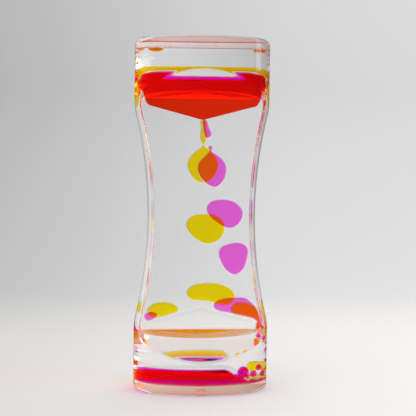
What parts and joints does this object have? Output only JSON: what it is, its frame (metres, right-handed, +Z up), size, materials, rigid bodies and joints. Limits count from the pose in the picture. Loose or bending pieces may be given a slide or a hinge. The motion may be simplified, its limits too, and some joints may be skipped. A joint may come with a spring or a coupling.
{
  "type": "liquid motion timer",
  "caption": "Upright liquid motion timer: drops of two coloured liquids fall through thin clear windows between two oval reservoirs.",
  "frame": {"origin": "centre of the underside of the base plate", "axes": "+Z up along the timer's height, +X to the right across its width, -Y towards the front, where the pink liquid is"},
  "size_m": [0.054, 0.032, 0.14],
  "materials": {
    "case": "clear moulded plastic, polished",
    "end_plate": "clear moulded plastic with a faint pink tint",
    "fill_plug": "clear moulded plastic, cemented",
    "inner_plastic": "clear moulded plastic",
    "clear_liquid": "clear liquid",
    "pink_liquid": "dyed liquid, pink",
    "yellow_liquid": "dyed liquid, yellow"
  },
  "bodies": {
    "timer": {"case_body": "case", "top_plate": "end_plate", "base_plate": "end_plate", "front_fill_plug": "fill_plug", "back_fill_plug": "fill_plug", "partition": "inner_plastic", "upper_funnel_front": "inner_plastic", "upper_funnel_back": "inner_plastic", "lower_funnel_front": "inner_plastic", "lower_funnel_back": "inner_plastic", "clear_liquid_front": "clear_liquid", "clear_liquid_back": "clear_liquid", "pink_upper_pool": "pink_liquid", "yellow_upper_pool": "yellow_liquid", "pink_lower_pool": "pink_liquid", "yellow_lower_pool": "yellow_liquid", "pink_stem": "pink_liquid", "yellow_stem": "yellow_liquid", "pink_drop_d": "pink_liquid", "pink_drop_e": "pink_liquid", "yellow_drop_c": "yellow_liquid", "yellow_drop_d": "yellow_liquid", "yellow_drop_e": "yellow_liquid", "pink_bubbles": "pink_liquid", "yellow_bubbles": "yellow_liquid", "ceiling_droplets": "yellow_liquid"},
    "pink_drop_a_body": {"pink_drop_a": "pink_liquid"},
    "pink_drop_b_body": {"pink_drop_b": "pink_liquid"},
    "pink_drop_c_body": {"pink_drop_c": "pink_liquid"},
    "yellow_drop_a_body": {"yellow_drop_a": "yellow_liquid"},
    "yellow_drop_b_body": {"yellow_drop_b": "yellow_liquid"},
    "pink_drip_body": {"pink_drip": "pink_liquid"},
    "yellow_drip_body": {"yellow_drip": "yellow_liquid"}
  },
  "joints": [
    {"name": "pink_drop_a_fall", "type": "slide", "parent": "timer", "child": "pink_drop_a_body", "axis": [0, 0, -1], "range_m": [-0.0024, 0.0085]},
    {"name": "pink_drop_b_fall", "type": "slide", "parent": "timer", "child": "pink_drop_b_body", "axis": [0, 0, -1], "range_m": [-0.0024, 0.0085]},
    {"name": "pink_drop_c_fall", "type": "slide", "parent": "timer", "child": "pink_drop_c_body", "axis": [0, 0, -1], "range_m": [-0.0024, 0.0085]},
    {"name": "pink_drip_fall", "type": "slide", "parent": "timer", "child": "pink_drip_body", "axis": [0, 0, -1], "range_m": [-0.00142, 0.00501]},
    {"name": "yellow_drop_a_fall", "type": "slide", "parent": "timer", "child": "yellow_drop_a_body", "axis": [0, 0, -1], "range_m": [0, 0.0145]},
    {"name": "yellow_drop_b_fall", "type": "slide", "parent": "timer", "child": "yellow_drop_b_body", "axis": [0, 0, -1], "range_m": [0, 0.0145]},
    {"name": "yellow_drip_fall", "type": "slide", "parent": "timer", "child": "yellow_drip_body", "axis": [0, 0, -1], "range_m": [0, 0.00501]}
  ],
  "couplings": [
    {"joint": "pink_drop_a_fall", "follows": "pink_drop_b_fall", "ratio": 1},
    {"joint": "pink_drop_c_fall", "follows": "pink_drop_b_fall", "ratio": 1},
    {"joint": "pink_drip_fall", "follows": "pink_drop_b_fall", "ratio": 0.58823},
    {"joint": "yellow_drop_a_fall", "follows": "yellow_drop_b_fall", "ratio": 1},
    {"joint": "yellow_drip_fall", "follows": "yellow_drop_b_fall", "ratio": 0.34483}
  ]
}
